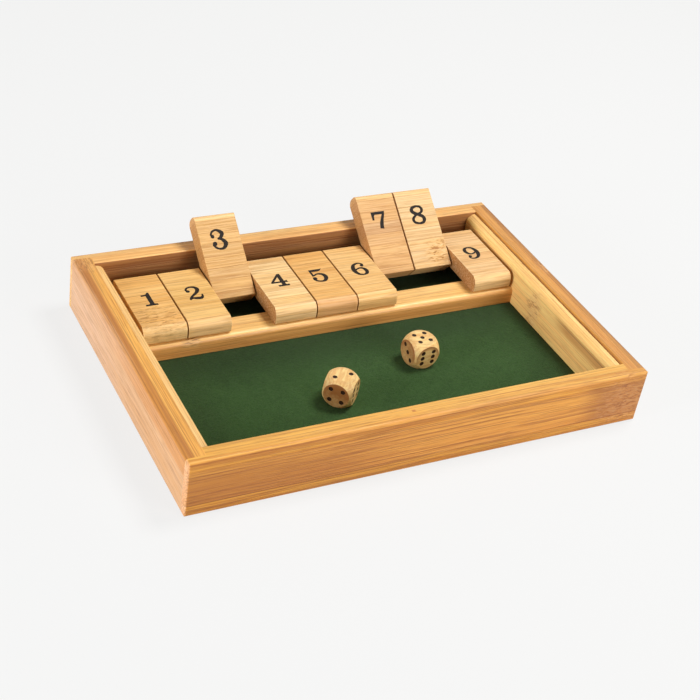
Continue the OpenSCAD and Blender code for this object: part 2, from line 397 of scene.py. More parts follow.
def felt_material():
    """Short wool fibres pressed flat: mottled and dull."""
    material, t = new_material("green felt")
    place = t.add("ShaderNodeTexCoord").outputs["Object"]
    clouds = t.ramp(t.noise(place, FELT_CLOUD_WAVES, 3.0, 0.6), 0.35, 0.65)
    tufts = t.ramp(t.noise(place, FELT_TUFT_WAVES, 4.0, 0.75, 0.6), 0.36, 0.66)
    strands = t.noise(t.vector("MULTIPLY", place, FELT_STRAND_WAVES), 1.0, 2.0, 0.6, 1.0)
    fibres = t.ramp(strands, 0.42, 0.64)
    colour = t.mix(clouds, paint("#3a5929"), paint("#335023"))
    blotches = t.ramp(t.noise(place, FELT_BLOTCH_WAVES, 3.0, 0.6), 0.4, 0.65, 0.0, 0.3)
    colour = t.mix(blotches, colour, paint("#466536"))
    colour = t.mix(t.math("MULTIPLY", tufts, 0.6), colour, paint("#4a6b39"))
    colour = t.mix(t.math("MULTIPLY", fibres, 0.5), colour, paint("#22361a"))
    # Painted shade: darker near the walls, along the bar and under the tiles, where shadow falls
    from_middle = t.vector("SUBTRACT", place, (0.0, FELT_MIDDLE_Y, 0.0))
    x, y, _ = t.split(t.vector("ABSOLUTE", from_middle))
    past_x = t.math("SUBTRACT", x, FELT_CLEAR[0])
    past_y = t.math("SUBTRACT", y, FELT_CLEAR[1])
    reach = t.math("MAXIMUM", past_x, past_y)
    painted_shade_by_wall = t.ramp(reach, -FELT_SHADE_FADE, FELT_SHADE_FADE, 0.04, 0.3)
    depth = t.split(place)[1]
    painted_shade_by_ledge = t.ramp(depth, *FELT_SHADE_BY_LEDGE, 0.0, 0.5)
    painted_shade_under_tiles = t.ramp(depth, *FELT_SHADE_UNDER_TILES, 0.0, 0.62)
    shade = t.math("MAXIMUM", painted_shade_by_wall, t.math("MAXIMUM", painted_shade_by_ledge, painted_shade_under_tiles))
    colour = t.mix(shade, colour, paint("#0c140a"))
    height = t.math("ADD", t.math("MULTIPLY", tufts, 0.7), t.math("MULTIPLY", fibres, 0.5))
    values = {"Base Color": colour, "Roughness": t.ramp(tufts, 0.0, 1.0, 0.85, 0.97)}
    values.update({"Sheen Weight": 0.05, "Sheen Roughness": 0.5, "Specular IOR Level": 0.12})
    values["Normal"] = relief(t, height, FELT_RELIEF)
    surface(t, values)
    return material


def ink_material(name, full, faded):
    """Black-brown ink, a little thin where it lies over the grain."""
    material, t = new_material(name)
    place = t.add("ShaderNodeTexCoord").outputs["Object"]
    thin = t.ramp(t.noise(t.stretch(place, 300, 2200), 1.0, 3.0, 0.6), 0.52, 0.75)
    colour = t.mix(t.math("MULTIPLY", thin, 0.4), paint(full), paint(faded))
    values = {"Base Color": colour, "Roughness": t.ramp(thin, 0.0, 1.0, 0.6, 0.75)}
    values["Specular IOR Level"] = 0.15
    values["Normal"] = relief(t, thin, INK_RELIEF)
    surface(t, values)
    return material


def steel_material():
    """Drawn steel with fine rings round the rod and a grey film."""
    material, t = new_material("rod steel")
    place = t.add("ShaderNodeTexCoord").outputs["Object"]
    draw_lines = t.noise(t.stretch(place, 120, 9000), 1.0, 3.0)
    film = t.ramp(t.noise(place, 220, 3.0), 0.35, 0.7)
    colour = t.mix(film, paint("#c4c6c8"), paint("#a3a5a8"))
    values = {"Base Color": colour, "Metallic": 1.0, "Roughness": t.ramp(film, 0.0, 1.0, 0.25, 0.42)}
    values["Normal"] = relief(t, draw_lines, STEEL_RELIEF)
    surface(t, values)
    return material


DIE_HALF = 8.0 * MM
# The radius of the flat disc that the rounding leaves on each face
DIE_DISC = 7.03 * MM
# How far a die's grain bends to each side, and how many waves of its rings and its pores
# lie in a metre. The grain runs along Y.
DIE_BEND = 3.0 * MM
DIE_RING_WAVES = (700, 60, 700)
DIE_PORE_WAVES = (3000, 700, 3000)


def die_material(name, centre, turn, end_share, seed):
    """Pale waxed wood. turn is the turn of its grain, whose ends lie on two of the faces.
    The flat discs have a browner rim, less so low down, and the end grain is darker."""
    material, t = new_material(name)
    position = t.add("ShaderNodeTexCoord").outputs["Object"]
    local = {"Vector": t.vector("SUBTRACT", position, centre), "Angle": -turn}
    place = t.add("ShaderNodeVectorRotate", local, rotation_type="Z_AXIS").outputs[0]
    seeded = t.vector("ADD", place, (seed, seed, seed))
    bend = t.math("MULTIPLY_ADD", t.noise(seeded, 90, 1.0), 2 * DIE_BEND, -DIE_BEND)
    bent = t.vector("ADD", seeded, t.join(bend, 0.0, bend))
    ring_noise = t.noise(t.vector("MULTIPLY", bent, DIE_RING_WAVES), 1.0, 3.0, 0.6)
    rings = t.ramp(ring_noise, 0.35, 0.65)
    pore_noise = t.noise(t.vector("MULTIPLY", seeded, DIE_PORE_WAVES), 1.0, 2.0)
    pores = t.ramp(pore_noise, 0.58, 0.7)
    a, b, c = t.split(t.vector("ABSOLUTE", place))
    height = t.split(place)[2]
    reach = t.math("MAXIMUM", a, t.math("MAXIMUM", b, c))
    flat = t.ramp(reach, DIE_HALF - 0.08 * MM, DIE_HALF - 0.02 * MM)
    beyond = t.math("SUBTRACT", t.math("POWER", t.vector("LENGTH", place), 2.0), DIE_HALF**2)
    from_middle = t.math("SQRT", t.math("MAXIMUM", beyond, 0.0))
    rim = t.math("MULTIPLY", flat, t.ramp(from_middle, DIE_DISC - 2.6 * MM, DIE_DISC - 0.4 * MM))
    rim = t.math("MULTIPLY", rim, t.ramp(height, -0.4 * DIE_HALF, 0.6 * DIE_HALF, 0.1, 1.0))
    rim = t.math("MULTIPLY", rim, t.ramp(height, 0.93 * DIE_HALF, 0.99 * DIE_HALF, 1.0, 0.25))
    # Patchy, and paler low down than near the top
    end_tone = t.ramp(t.noise(seeded, 150, 3.0, 0.6), 0.3, 0.7, 0.7, 1.05)
    end_tone = t.math("MULTIPLY", end_tone, t.ramp(height, -DIE_HALF, 0.4 * DIE_HALF, 0.55, 1.1))
    end = t.math("MULTIPLY", t.math("MULTIPLY", flat, end_tone), t.ramp(b, 0.95 * DIE_HALF, DIE_HALF))
    colour = t.mix(rings, paint("#ecca84"), paint("#dba964"))
    colour = t.mix(t.math("MULTIPLY", end, end_share), colour, paint("#98602a"))
    colour = t.mix(t.math("MULTIPLY", rim, 0.8), colour, paint("#a06230"))
    colour = t.mix(t.math("MULTIPLY", pores, 0.45), colour, paint("#b06c2c"))
    values = {"Base Color": colour, "Roughness": t.ramp(rings, 0.0, 1.0, 0.42, 0.58)}
    values.update({"Coat Weight": 0.1, "Coat Roughness": 0.3})
    values["Normal"] = relief(t, t.math("MULTIPLY", pores, -1.0), DIE_RELIEF)
    surface(t, values)
    return material


# Boards


# What a board's look holds. Lengths are in millimetres from the board's centre, the first
# of each three along the grain.
# strip: the size of its strips, of which only the last two count. seam_place: a seam's place.
# knuckle: the middle of a stem joint, and in PLAIN it lies far off the board.
# knuckle_size and knuckle_depth: how far the stem joint reaches and how strong it is.
# end: how strongly the pores show on end grain. The edge reach: how wide its edges are paler,
# partly as wear and partly as a painted highlight.
# line_waves: waves of the thin lines in a metre along the grain.
# lines: how strong they are on the top and on the sides.
# light, dark, strip_tint, deep: its colours. side: light and dark on its sides.
# zones: parts in another light and dark, each with its middle, its half size and how soft
# its edge is. The tip: light and dark of the painted highlight on a tile's tip. coat and gloss: the
# lacquer.
PLAIN = {
    "strip": (1, 6, 30),
    "seam_place": (0, 0, 15),
    "knuckle": (0, 0, 90),
    "knuckle_size": (9, 12, 12),
    "knuckle_depth": 0.6,
    "end": 0.3,
    "line_waves": 26.0,
    "lines": (1.0, 1.0),
    "zones": [],
    "worn_highlit_edge": 1.2,
    "coat": 0.14,
    "gloss": 0.45,
}
RAIL = {
    **PLAIN,
    "end": 0.1,
    "worn_highlit_edge": 0.4,
    "line_waves": 9.0,
    "lines": (1.4, 2.0),
    "light": "#e7ae4e",
    "dark": "#d38f37",
    "strip_tint": "#d9944d",
    "deep": "#84481c",
    "coat": 0.07,
    "gloss": 0.33,
}
WALL = {
    **PLAIN,
    "worn_highlit_edge": 0.7,
    "light": "#eeb14d",
    "dark": "#d89238",
    "strip_tint": "#dd9c55",
    "deep": "#84501f",
}
CHEEK = {
    **PLAIN,
    "light": "#fdd488",
    "dark": "#edb867",
    "strip_tint": "#f2c07a",
    "deep": "#a0682f",
}
TILE = {
    **PLAIN,
    "strip": (1, 7, 30),
    "end": 1.3,
    "worn_highlit_edge": 0.8,
    "strip_tint": "#edb96e",
    "deep": "#9c632a",
    "nose_highlight": ("#f6cf94", "#eabc7c"),
    "coat": 0.03,
    "gloss": 0.25,
}

BOARDS = {
    "front_rail": {
        **RAIL,
        "seed": 1.3,
        "strip": (1, 30, 20),
        "seam_place": (0, 15, -9.5),
        "side": ("#dc9c35", "#c88226"),
        "knuckle": (120, -3, -1),
        "knuckle_size": (19, 8, 20),
        "knuckle_depth": 1.0,
        "zones": [
            ((72, 0, 17), (66, 14, 1.6), 0.35, "#e6b356", "#d2933d"),
            ((-92, -5, -3), (62, 4, 10.5), 0.6, "#ab6a0e", "#9b590d"),
            ((119, -5, -2), (22, 4, 14), 0.6, "#985d13", "#80430f"),
            ((32, -5, -13), (14, 4, 3.5), 0.9, "#b6762e", "#97581f"),
            ((0, -5, -13.5), (140, 4, 3.5), 0.15, "#d59634", "#bb7722"),
            ((-48, -5, 14.0), (86, 1.2, 1.25), 0.35, "#c6882d", "#b57122"),
            ((-9.8, 0.9, 16.5), (0.9, 0.7, 1.5), 0.5, "#c07a35", "#a8642a"),
            # Painted light: the left end is as pale as the left wall's outer side
            ((-131, 0, 0), (0.8, 20, 20), 0.5, "#efbd8c", "#e4a972"),
        ],
    },
    "back_rail": {
        **RAIL,
        "seed": 2.1,
        "strip": (1, 30, 20),
        "seam_place": (0, 15, -9.5),
        "light": "#fdcd7c",
        "dark": "#e6ab59",
        "strip_tint": "#e9ac6e",
        "side": ("#d89932", "#bb741e"),
        "zones": [
            # Painted shade: the inner face is darker where the tiles shade it
            ((0, -5.5, 0), (200, 0.4, 60), 0.3, "#7b4004", "#652e02"),
            ((0, 3.5, 16.5), (200, 2.2, 2.0), 0.4, "#edc57c", "#d7a459"),
        ],
    },
    "left_wall": {
        **WALL,
        "seed": 3.7,
        "strip": (1, 5, 40),
        "seam_place": (0, 0.8, 20),
        # Painted light: the sides are pale and pinkish, standing in for the white floor's light on the
        # outer side
        "side": ("#cda87f", "#c39868"),
        "knuckle": (81, 0, 17),
        "knuckle_size": (10, 13, 4),
        "knuckle_depth": 0.9,
        "zones": [
            ((0, -3.0, 16), (120, 2.5, 10), 0.2, "#bf780e", "#a15b08"),
            # Painted light: the outer side is paler still over its back half
            ((70, -5, -1), (55, 1, 15), 0.9, "#d7b89a", "#cda885"),
            # Painted shade: a thin dark line on the inner face, in the step just above the cheek
            ((0, 5.2, 15.0), (79, 0.3, 0.6), 0.3, "#a87038", "#8a5626"),
        ],
    },
    "right_wall": {
        **WALL,
        "seed": 4.4,
        "strip": (1, 5, 40),
        "seam_place": (0, 1.2, 20),
        "light": "#cf9237",
        "dark": "#bd7925",
        "knuckle": (14, 4.5, 15),
        "knuckle_size": (8, 4, 6),
        "knuckle_depth": 1.3,
        "zones": [
            ((0, 3.6, 16), (120, 2.2, 10), 0.3, "#b87f37", "#9d6425"),
            # Painted shade: a dark line along the rounded outer top edge
            ((0, 5.0, 15), (92, 1.1, 1.8), 0.4, "#946642", "#784b2c"),
            # Painted shade: a thin dark line on the inner face, in the step just above the cheek
            ((0, -5.2, 15.0), (79, 0.3, 0.6), 0.3, "#a87038", "#8a5626"),
        ],
    },
    "left_cheek": {
        **CHEEK,
        "seed": 5.2,
        "strip": (1, 20, 7),
        "knuckle": (10, 0, 0),
        "knuckle_size": (5, 9, 14),
    },
    "right_cheek": {
        **CHEEK,
        "seed": 6.8,
        "strip": (1, 20, 7),
        "side": ("#ffdb82", "#ffc570"),
        "strip_tint": "#ffce86",
        "deep": "#b4763a",
        "lines": (1.0, 0.7),
        "knuckle": (-3, 0, -1),
        "knuckle_size": (8, 9, 14),
        "knuckle_depth": 1.1,
        "zones": [
            ((-52, -2.8, 5.4), (24, 1, 2.8), 0.4, "#cf9449", "#b07635"),
            # Painted shade: a thin dark line in the crease under the rounded top
            ((-52, -2.8, 6.9), (27, 1, 0.42), 0.35, "#8e5c2a", "#74461c"),
        ],
    },
    "tile_ledge": {
        **CHEEK,
        "light": "#f6c675",
        "dark": "#e7ac58",
        "seed": 7.5,
        "strip": (1, 9, 30),
        "side": ("#ecac5d", "#d28c43"),
        "knuckle": (-86, -7.5, 4),
        "knuckle_size": (6, 6, 4),
        "knuckle_depth": 1.3,
    },
    "base_panel": {
        **WALL,
        "seed": 8.6,
        "strip": (1, 22, 30),
        "knuckle": (30, -20, 0),
        "knuckle_size": (5, 11, 6),
    },
}
GRAIN_ON_Y = ("left_wall", "right_wall", "left_cheek", "right_cheek")

# The tip of each tile, painted paler as a painted highlight where its rounded front catches the light
NOSE_HIGHLIGHT_MIDDLE = (0, -24.8, 0)
NOSE_HIGHLIGHT_REACH = (14, 3.4, 8)
TILE_LOOKS = {
    1: {
        "light": "#f8c57a",
        "dark": "#e5a958",
        "nose_highlight": ("#ffe1a2", "#ffd18c"),
        "knuckle": (0, -15, 2),
        "knuckle_size": (22, 13, 13),
        "knuckle_depth": 0.8,
        "zones": [((4, -17, 5), (9, 4, 6), 0.6, "#fbc981", "#efac55")],
    },
    2: {"light": "#edc27a", "dark": "#deaa5c"},
    # Painted shade: tiles 3, 7 and 8, raised at rest, are painted darker to offset the stronger light
    # on their raised faces
    3: {"light": "#d8ac6e", "dark": "#c69657"},
    4: {
        "light": "#f5d299",
        "dark": "#e9bb7a",
        "end": 1.8,
        "zones": [((3, -15, 5), (8, 4, 4), 0.8, "#f9d898", "#eebd78")],
    },
    5: {"light": "#eab76f", "dark": "#d99c50", "nose_highlight": ("#e9b680", "#d9a066")},
    6: {"light": "#efc586", "dark": "#e0ad66", "nose_highlight": ("#f8ca86", "#ecb66c")},
    # Painted shade, as for tile 3
    7: {"light": "#d2a774", "dark": "#c2915d"},
    # Painted shade, as for tile 3
    8: {
        "light": "#e0c08d",
        "dark": "#d4ab74",
        "knuckle": (6, 16, -5),
        "knuckle_size": (9, 10, 6),
        "knuckle_depth": 1.2,
    },
    9: {"light": "#ebc693", "dark": "#dcad73", "end": 1.8},
}


def middle_and_half(low, high):
    return (low + high) / 2, (high - low) / 2


def finish_boards():
    for name, look in BOARDS.items():
        centre, half = middle_and_half(*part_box(name))
        material = bamboo(f"bamboo {name}", centre, half, look, grain_on_y=name in GRAIN_ON_Y)
        frame["nodes"][name].material_slots[0].material = material


# The tiles that lie flat at rest: they can't turn any further down
LYING = [n for n in TILES if HINGES[f"flap_{n}"]["range_deg"][0] > -1]
TILE_LOW, TILE_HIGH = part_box(f"tile_{LYING[0]}")


def face_turn(n):
    """How far tile n is turned about the rod at rest, from the slope of its flat faces."""
    if n in LYING:
        return 0.0
    faces = [f for f in frame["nodes"][f"tile_{n}"].data.polygons if abs(f.normal.x) < 0.01]
    normal = max(faces, key=lambda f: f.area).normal
    turn = math.atan2(-normal.y, normal.z)
    return turn if turn < 0 else turn - math.pi


def hinge_place(n):
    return Vector(HINGES[f"flap_{n}"]["pos_m"])


def tile_centre(n):
    """The centre of tile n as it lies flat."""
    centre = (TILE_LOW + TILE_HIGH) / 2
    return Vector((hinge_place(n).x, centre.y, centre.z))


def finish_tiles():
    half = (TILE_HIGH - TILE_LOW) / 2
    for n, own in TILE_LOOKS.items():
        look = {**TILE, "seed": 10.3 + 1.7 * n, **own}
        look["zones"] = [(NOSE_HIGHLIGHT_MIDDLE, NOSE_HIGHLIGHT_REACH, 0.5, *look["nose_highlight"])] + look["zones"]
        material = bamboo(f"bamboo tile {n}", tile_centre(n), half, look, -face_turn(n), hinge_place(n))
        frame["nodes"][f"tile_{n}"].material_slots[0].material = material


# Numerals


# Each numeral is drawn in millimetres from its middle. A stroke is a list of points, each
# with the stroke's width there, a plate is a polygon and a ball is a centre and a radius.
SIX = [
    [(3.1, 3.1, 1.0), (3.75, 4.1, 0.9), (2.7, 5.35, 0.95), (0.6, 5.6, 1.05), (-1.9, 4.2, 1.6),
     (-3.4, 1.0, 2.3), (-3.45, -2.0, 2.3), (-2.1, -4.8, 1.5), (0.2, -5.65, 1.0)],
    [(-0.6, -5.6, 1.0), (0.8, -5.6, 1.0), (2.7, -4.6, 1.6), (3.5, -2.3, 2.1), (2.7, 0.1, 1.6),
     (0.45, 0.95, 0.95), (-2.9, -0.6, 0.8)],
]
NUMERALS = {
    1: {
        "plates": [
            [(-0.6, -5.8), (1.55, -5.8), (1.55, 5.95), (0.85, 5.95), (-0.1, 4.75), (-1.2, 4.3),
             (-3.1, 4.15), (-3.1, 3.15), (-0.6, 3.3)],
            [(-3.3, -5.95), (3.35, -5.95), (3.35, -4.9), (2.1, -4.75), (1.5, -4.2), (-0.6, -4.2),
             (-1.2, -4.75), (-3.3, -4.9)],
        ],
    },
    2: {
        "strokes": [
            [(-2.65, 1.95, 1.2), (-3.3, 3.3, 1.0), (-2.3, 5.0, 0.9), (-0.15, 5.6, 1.1), (2.1, 4.9, 1.7),
             (3.0, 2.9, 2.1), (1.9, 0.4, 1.7), (-0.9, -2.1, 1.2), (-3.1, -4.2, 0.9), (-3.9, -6.0, 0.7)],
            [(-3.9, -5.9, 0.6), (-2.4, -4.7, 1.3), (0.4, -5.15, 1.9), (2.6, -5.2, 1.8),
             (3.75, -3.8, 1.0), (4.1, -1.9, 0.5)],
        ],
        "balls": [(-2.65, 1.95, 0.98)],
    },
    3: {
        "strokes": [
            [(-3.35, 2.05, 1.2), (-4.0, 3.3, 1.0), (-2.75, 5.1, 0.9), (-0.2, 5.6, 1.1), (2.4, 3.6, 2.2),
             (1.3, 1.2, 1.5), (-0.7, 0.35, 0.8)],
            [(-0.7, 0.45, 0.7), (1.6, -0.1, 1.4), (3.4, -2.5, 2.3), (2.1, -4.9, 1.6), (0.05, -5.6, 1.0),
             (-2.45, -4.8, 1.0), (-3.7, -3.0, 1.1), (-3.0, -2.3, 1.2)],
        ],
        "balls": [(-3.35, 2.05, 0.98), (-2.95, -2.3, 1.15)],
    },
    4: {
        "strokes": [[(1.9, 5.5, 1.1), (-1.2, 1.9, 1.1), (-4.3, -1.75, 1.1)]],
        "plates": [
            [(0.8, -5.8), (2.9, -5.8), (2.9, 5.85), (1.6, 5.85), (0.8, 4.6)],
            [(-4.75, -1.25), (-4.75, -2.35), (2.9, -2.35), (4.7, -2.6), (4.7, -0.95), (2.9, -1.25)],
            [(-1.6, -5.85), (4.7, -5.85), (4.7, -4.55), (3.4, -4.8), (2.9, -4.3), (0.8, -4.3),
             (0.3, -4.8), (-1.6, -4.55)],
        ],
    },
    5: {
        "strokes": [
            [(-3.3, 0.1, 0.8), (-0.35, 1.6, 1.0), (2.6, 0.6, 1.9), (3.45, -1.9, 2.3), (2.1, -4.8, 1.7),
             (-0.35, -5.6, 1.1), (-2.85, -4.7, 1.1), (-3.9, -3.2, 1.2), (-3.4, -2.4, 1.2)],
        ],
        "plates": [
            [(-3.85, 6.05), (-3.85, -0.4), (-2.9, 0.3), (-2.9, 4.3), (1.0, 4.2), (2.6, 4.7), (3.9, 6.3),
             (3.1, 6.05)],
        ],
        "balls": [(-3.35, -2.35, 1.15)],
    },
    6: {"strokes": SIX, "balls": [(2.95, 3.1, 0.98)]},
    7: {
        "strokes": [[(3.85, 4.7, 1.0), (2.1, 0.9, 1.6), (0.9, -2.2, 2.0), (0.35, -5.3, 2.2)]],
        "plates": [
            [(-4.3, 5.25), (-4.3, 0.4), (-3.35, 0.4), (-2.9, 3.0), (-2.2, 3.75), (3.6, 3.75),
             (4.35, 5.25)],
        ],
    },
    8: {
        "strokes": [
            [(0.6, 5.5, 1.0), (-2.3, 4.7, 1.6), (-3.3, 2.9, 2.1), (-2.0, 1.3, 1.9), (0.3, 0.2, 1.8),
             (2.6, -1.1, 1.9), (3.5, -2.9, 2.1), (2.4, -4.9, 1.5), (-0.3, -5.5, 1.0)],
            [(0.0, 5.5, 1.0), (2.6, 4.8, 1.2), (3.5, 3.1, 1.6), (2.6, 1.4, 1.2), (0.1, 0.4, 0.9),
             (-2.6, -1.0, 1.2), (-3.7, -2.9, 1.6), (-2.7, -4.7, 1.3), (0.3, -5.5, 1.0)],
        ],
    },
    9: {
        "strokes": [[(-x, -y, width) for x, y, width in stroke] for stroke in SIX],
        "balls": [(-2.95, -3.1, 0.98)],
    },
}
# Steps between two points of a stroke, and sides of a ball
SPAN_STEPS = 8
BALL_SIDES = 24
# How far the ink has spread past the drawn outlines, in millimetres
INK_SPREAD = 0.14
# For the triangles: only what lies inside an outline is kept, and points nearer than this
# many millimetres are one
KEEP_INSIDE = 1
SAME_POINT = 1e-5


def smooth_line(points):
    """Points along a smooth curve through the given ones, with every value eased alike."""
    line = []
    last = len(points) - 1
    for i in range(last):
        p0, p1, p2, p3 = (Vector(points[min(max(i + k, 0), last)]) for k in (-1, 0, 1, 2))
        for step in range(SPAN_STEPS):
            u = step / SPAN_STEPS
            curve = 2 * p1 + (p2 - p0) * u + (2 * p0 - 5 * p1 + 4 * p2 - p3) * u**2
            line.append((curve + (3 * p1 - p0 - 3 * p2 + p3) * u**3) / 2)
    return line + [Vector(points[-1])]


def stroke_outline(points):
    """The outline of a pen stroke whose width changes along it."""
    line = smooth_line(points)
    left, right = [], []
    for i, point in enumerate(line):
        ahead = line[min(i + 1, len(line) - 1)] - line[max(i - 1, 0)]
        side = Vector((-ahead.y, ahead.x)).normalized() * (point.z / 2 + INK_SPREAD)
        left.append(point.xy + side)
        right.append(point.xy - side)
    return right + left[::-1]


def plate_outline(points):
    """The outline of a polygon, moved out by the spread of the ink."""
    corners = [Vector(point) for point in points]
    turning = sum(corners[i - 1].cross(corner) for i, corner in enumerate(corners))
    outline = []
    for i, corner in enumerate(corners):
        before = (corner - corners[i - 1]).normalized()
        after = (corners[(i + 1) % len(corners)] - corner).normalized()
        out = Vector((before.y + after.y, -before.x - after.x)) * math.copysign(INK_SPREAD, turning)
        outline.append(corner + out / (1 + before.dot(after)))
    return outline


def ball_outline(x, y, radius):
    reach = radius + INK_SPREAD
    turns = [math.tau * i / BALL_SIDES for i in range(BALL_SIDES)]
    return [Vector((x + reach * math.cos(a), y + reach * math.sin(a))) for a in turns]


def numeral_outlines(drawing):
    outlines = [stroke_outline(points) for points in drawing.get("strokes", [])]
    outlines += [plate_outline(points) for points in drawing.get("plates", [])]
    return outlines + [ball_outline(*ball) for ball in drawing.get("balls", [])]


def joined_triangles(outlines):
    """One flat mesh over all the outlines: its corners and its triangles."""
    corners, loops = [], []
    for outline in outlines:
        loops.append(list(range(len(corners), len(corners) + len(outline))))
        corners += outline
    found = geometry.delaunay_2d_cdt(corners, [], loops, KEEP_INSIDE, SAME_POINT)
    joined, triangles, outlines_over = found[0], found[2], found[5]
    return joined, [triangle for triangle, over in zip(triangles, outlines_over) if over]


def solid_plate(name, corners, triangles, thickness):
    """A plate with its top at z 0 from flat triangles, with walls round its outline."""
    mesh = bmesh.new()
    top = [mesh.verts.new((p.x, p.y, 0.0)) for p in corners]
    low = [mesh.verts.new((p.x, p.y, -thickness)) for p in corners]
    for face in triangles:
        mesh.faces.new([top[i] for i in face])
        mesh.faces.new([low[i] for i in reversed(face)])
    edges = {(face[i], face[(i + 1) % 3]) for face in triangles for i in range(3)}
    for a, b in edges:
        if (b, a) not in edges:
            mesh.faces.new([top[b], top[a], low[a], low[b]])
    bmesh.ops.recalc_face_normals(mesh, faces=mesh.faces)
    loose = [v for v in mesh.verts if not v.link_faces]
    bmesh.ops.delete(mesh, geom=loose, context="VERTS")
    return piece_from(name, mesh)


def piece_from(name, mesh):
    data = bpy.data.meshes.new(name)
    mesh.to_mesh(data)
    mesh.free()
    piece = bpy.data.objects.new(name, data)
    bpy.context.scene.collection.objects.link(piece)
    return piece


INK_THICKNESS = 0.06 * MM
# How far the ink stands out of the wood
INK_PROUD = 0.04 * MM
# The middle of a numeral from the tile's back end, on top, and from its tip, below
UPPER_FROM_BACK = 22.8 * MM
LOWER_FROM_TIP = 16.0 * MM
# How far each print sits off its usual place, right and towards its head, in millimetres
PRINT_SHIFTS = {
    1: (0.1, 0.6), 2: (0.4, 0.3), 3: (-0.8, 0.7), 4: (0.2, 0.25), 5: (-0.4, -0.9),
    6: (0.3, -0.5), 7: (-0.9, -0.65), 8: (-0.4, -0.45), 9: (-0.35, -1.0),
}


def numeral(n, face, ink):
    """The printed number on the upper or lower face of tile n."""
    corners, triangles = joined_triangles(numeral_outlines(NUMERALS[n]))
    piece = solid_plate(f"numeral_{n}_{face}", [c * MM for c in corners], triangles, INK_THICKNESS)
    right, up = (shift * MM for shift in PRINT_SHIFTS[n])
    x = hinge_place(n).x + right
    if face == "upper":
        spot = Vector((x, TILE_HIGH.y - UPPER_FROM_BACK + up, TILE_HIGH.z + INK_PROUD))
        lay = Matrix.Translation(spot)
    else:
        spot = Vector((x, TILE_LOW.y + LOWER_FROM_TIP - up, TILE_LOW.z - INK_PROUD))
        lay = Matrix.Translation(spot) @ Matrix.Rotation(math.pi, 4, "X")
    rod = Matrix.Translation(hinge_place(n))
    raised = rod @ Matrix.Rotation(face_turn(n), 4, "X") @ rod.inverted()
    piece.data.transform(raised @ lay)
    piece.data.materials.append(ink)
    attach(piece, f"flap_{n}")


def print_numerals(ink):
    for n in TILES:
        for face in ("upper", "lower"):
            numeral(n, face, ink)


# Dice


# Each die: the numbers on three faces, which diagonal its pips take, its turn in degrees,
# how its grain is turned in it, and how dark its end grain is
DICE = {
    "left_die": {
        "top": 2,
        "front": 4,
        "right": 6,
        "slant": 1,
        "turn": -45,
        "grain_turn": 0,
        "end": 1.05,
        "seed": 0.31,
    },
    "right_die": {
        "top": 5,
        "front": 6,
        "right": 4,
        "slant": -1,
        "turn": 4,
        "grain_turn": 90,
        "end": 0.8,
        "seed": 0.77,
    },
}
PIP_STEP = 3.3 * MM
PIP_RADIUS = 1.28 * MM
# The ink in a pip, as a share of its radius and a depth in millimetres, from the middle of
# its underside round to the middle of its top
PIP_PROFILE = [(0.0, 0.39), (1.0, 0.39), (1.0, 0.05), (0.85, 0.1), (0.5, 0.2), (0.0, 0.24)]
PIP_SIDES = 24


def pip_places(count, slant):
    """Where the pips of a face lie, in steps from its middle."""
    places = [(0, 0)] if count % 2 else []
    if count > 1:
        places += [(1, slant), (-1, -slant)]
    if count > 3:
        places += [(1, -slant), (-1, slant)]
    if count == 6:
        places += [(1, 0), (-1, 0)]
    return places


def pip(mesh, matrix):
    """The ink in one hollow: a shallow dish, turned from its profile."""
    rings = []
    for share, depth in PIP_PROFILE:
        sides = PIP_SIDES if share else 1
        ring = []
        for i in range(sides):
            a = math.tau * i / sides
            radius = share * PIP_RADIUS
            point = Vector((radius * math.cos(a), radius * math.sin(a), -depth * MM))
            ring.append(mesh.verts.new(matrix @ point))
        rings.append(ring)
    for inner, outer in zip(rings, rings[1:]):
        for i in range(PIP_SIDES):
            j = (i + 1) % PIP_SIDES
            ends = [inner[i % len(inner)], inner[j % len(inner)]]
            ends += [outer[j % len(outer)], outer[i % len(outer)]]
            mesh.faces.new(list(dict.fromkeys(ends)))


def die_pips(name, facts, centre, ink):
    """The ink in all the pips of one die. Opposite faces add to seven."""
    mesh = bmesh.new()
    top, front, right = facts["top"], facts["front"], facts["right"]
    counts = [top, 7 - top, front, right, 7 - front, 7 - right]
    quarter = math.pi / 2
    turns = [(0, 0, 0), (math.pi, 0, 0)] + [(quarter, 0, quarter * side) for side in range(4)]
    stand = Matrix.Translation(centre) @ Matrix.Rotation(math.radians(facts["turn"]), 4, "Z")
    for count, turn in zip(counts, turns):
        face = stand @ Euler(turn, "XYZ").to_matrix().to_4x4()
        for x, y in pip_places(count, facts["slant"]):
            pip(mesh, face @ Matrix.Translation((x * PIP_STEP, y * PIP_STEP, DIE_HALF)))
    bmesh.ops.recalc_face_normals(mesh, faces=mesh.faces)
    pips = piece_from(f"{name}_pips", mesh)
    pips.data.materials.append(ink)
    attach(pips, f"loose_{name}")


def finish_dice(ink):
    for name, facts in DICE.items():
        centre = middle_and_half(*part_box(name))[0]
        turn = math.radians(facts["turn"] + facts["grain_turn"])
        wood = die_material(name.replace("_", " "), centre, turn, facts["end"], facts["seed"])
        frame["nodes"][name].material_slots[0].material = wood
        die_pips(name, facts, centre, ink)


# Felt


FELT_CELL = 2.0 * MM
# How far the felt's rounded edge and its deepest dips lie below its full height
FELT_EDGE = 0.35 * MM
FELT_DIP = 0.14 * MM
# Waves of the felt in a metre, and tufts of its nap
FELT_WAVES = 26
FELT_TUFTS = 420


def felt_height(x, y):
    """How far the felt lies below its full height: soft waves, and a nap of small tufts."""
    wave = noise.noise(Vector((x * FELT_WAVES, y * FELT_WAVES, 0.3))) * 0.5 + 0.5
    nap = noise.noise(Vector((x * FELT_TUFTS, y * FELT_TUFTS, 1.7))) * 0.5 + 0.5
    return FELT_DIP * (0.7 * wave + 0.3 * nap)


